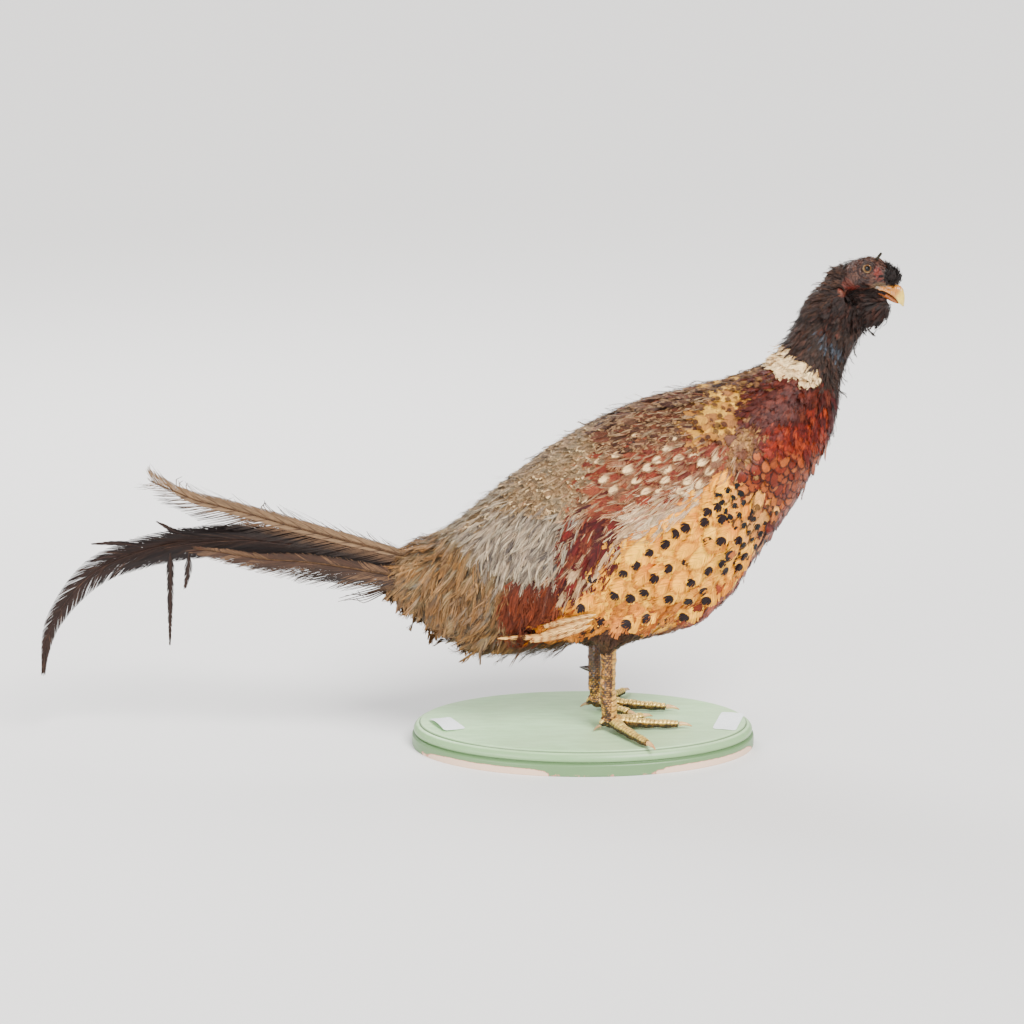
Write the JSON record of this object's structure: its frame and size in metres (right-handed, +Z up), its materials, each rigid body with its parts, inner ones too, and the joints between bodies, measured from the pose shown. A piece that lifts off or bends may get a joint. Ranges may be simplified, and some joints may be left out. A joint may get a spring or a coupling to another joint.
{
  "type": "mounted pheasant",
  "caption": "Life-size stuffed cock pheasant standing on both feet with its head turned to its right, on an oval moulded wooden base with two paper slips.",
  "frame": {"origin": "middle of the oval base's underside, on the table", "axes": "+X the way the bird faces, along the base's long axis; +Y the bird's left; +Z up"},
  "size_m": [0.6848, 0.1656, 0.4017],
  "materials": {
    "body_plumage": "feathers: golden flank with dark spots, copper breast, olive-grey back",
    "neck_plumage": "short dark feathers with a faint blue sheen",
    "head_plumage": "wrinkled reddish-brown bare skin and short dark feathers",
    "wing_plumage": "maroon and cream feathers",
    "thigh_plumage": "short dark brown feathers",
    "tail_plumage": "long feathers, olive-tan with dark bars, worn and split",
    "tail_dark_plumage": "long dark brown feathers, worn and split",
    "bill_horn": "smooth yellowish horn",
    "eye_glass": "glass eye, dark pupil in a pale ring, backed so nothing shows through",
    "scaled_skin": "dried scaly skin with a bronze shine",
    "claw_horn": "cream horn",
    "spur_horn": "dark horn",
    "painted_board": "sage-green satin paint over a pale pinkish primer, chipped at the lower edge",
    "slip_paper": "plain white paper"
  },
  "bodies": {
    "root": {"base_board": "painted_board", "bill_lower": "bill_horn", "bill_upper": "bill_horn", "claw_left_hind": "claw_horn", "claw_left_inner": "claw_horn", "claw_left_middle": "claw_horn", "claw_left_outer": "claw_horn", "claw_right_hind": "claw_horn", "claw_right_inner": "claw_horn", "claw_right_middle": "claw_horn", "claw_right_outer": "claw_horn", "eye_left": "eye_glass", "eye_right": "eye_glass", "foot_left": "scaled_skin", "foot_right": "scaled_skin", "head": "head_plumage", "neck": "neck_plumage", "slip_curled": "slip_paper", "slip_flat": "slip_paper", "spur_left": "spur_horn", "spur_right": "spur_horn", "tail_bent": "tail_dark_plumage", "tail_broken_long": "tail_dark_plumage", "tail_broken_short": "tail_dark_plumage", "tail_lower": "tail_plumage", "tail_upper": "tail_plumage", "thigh_left": "thigh_plumage", "thigh_right": "thigh_plumage", "trunk": "body_plumage", "wing_left": "wing_plumage", "wing_right": "wing_plumage"}
  },
  "joints": []
}
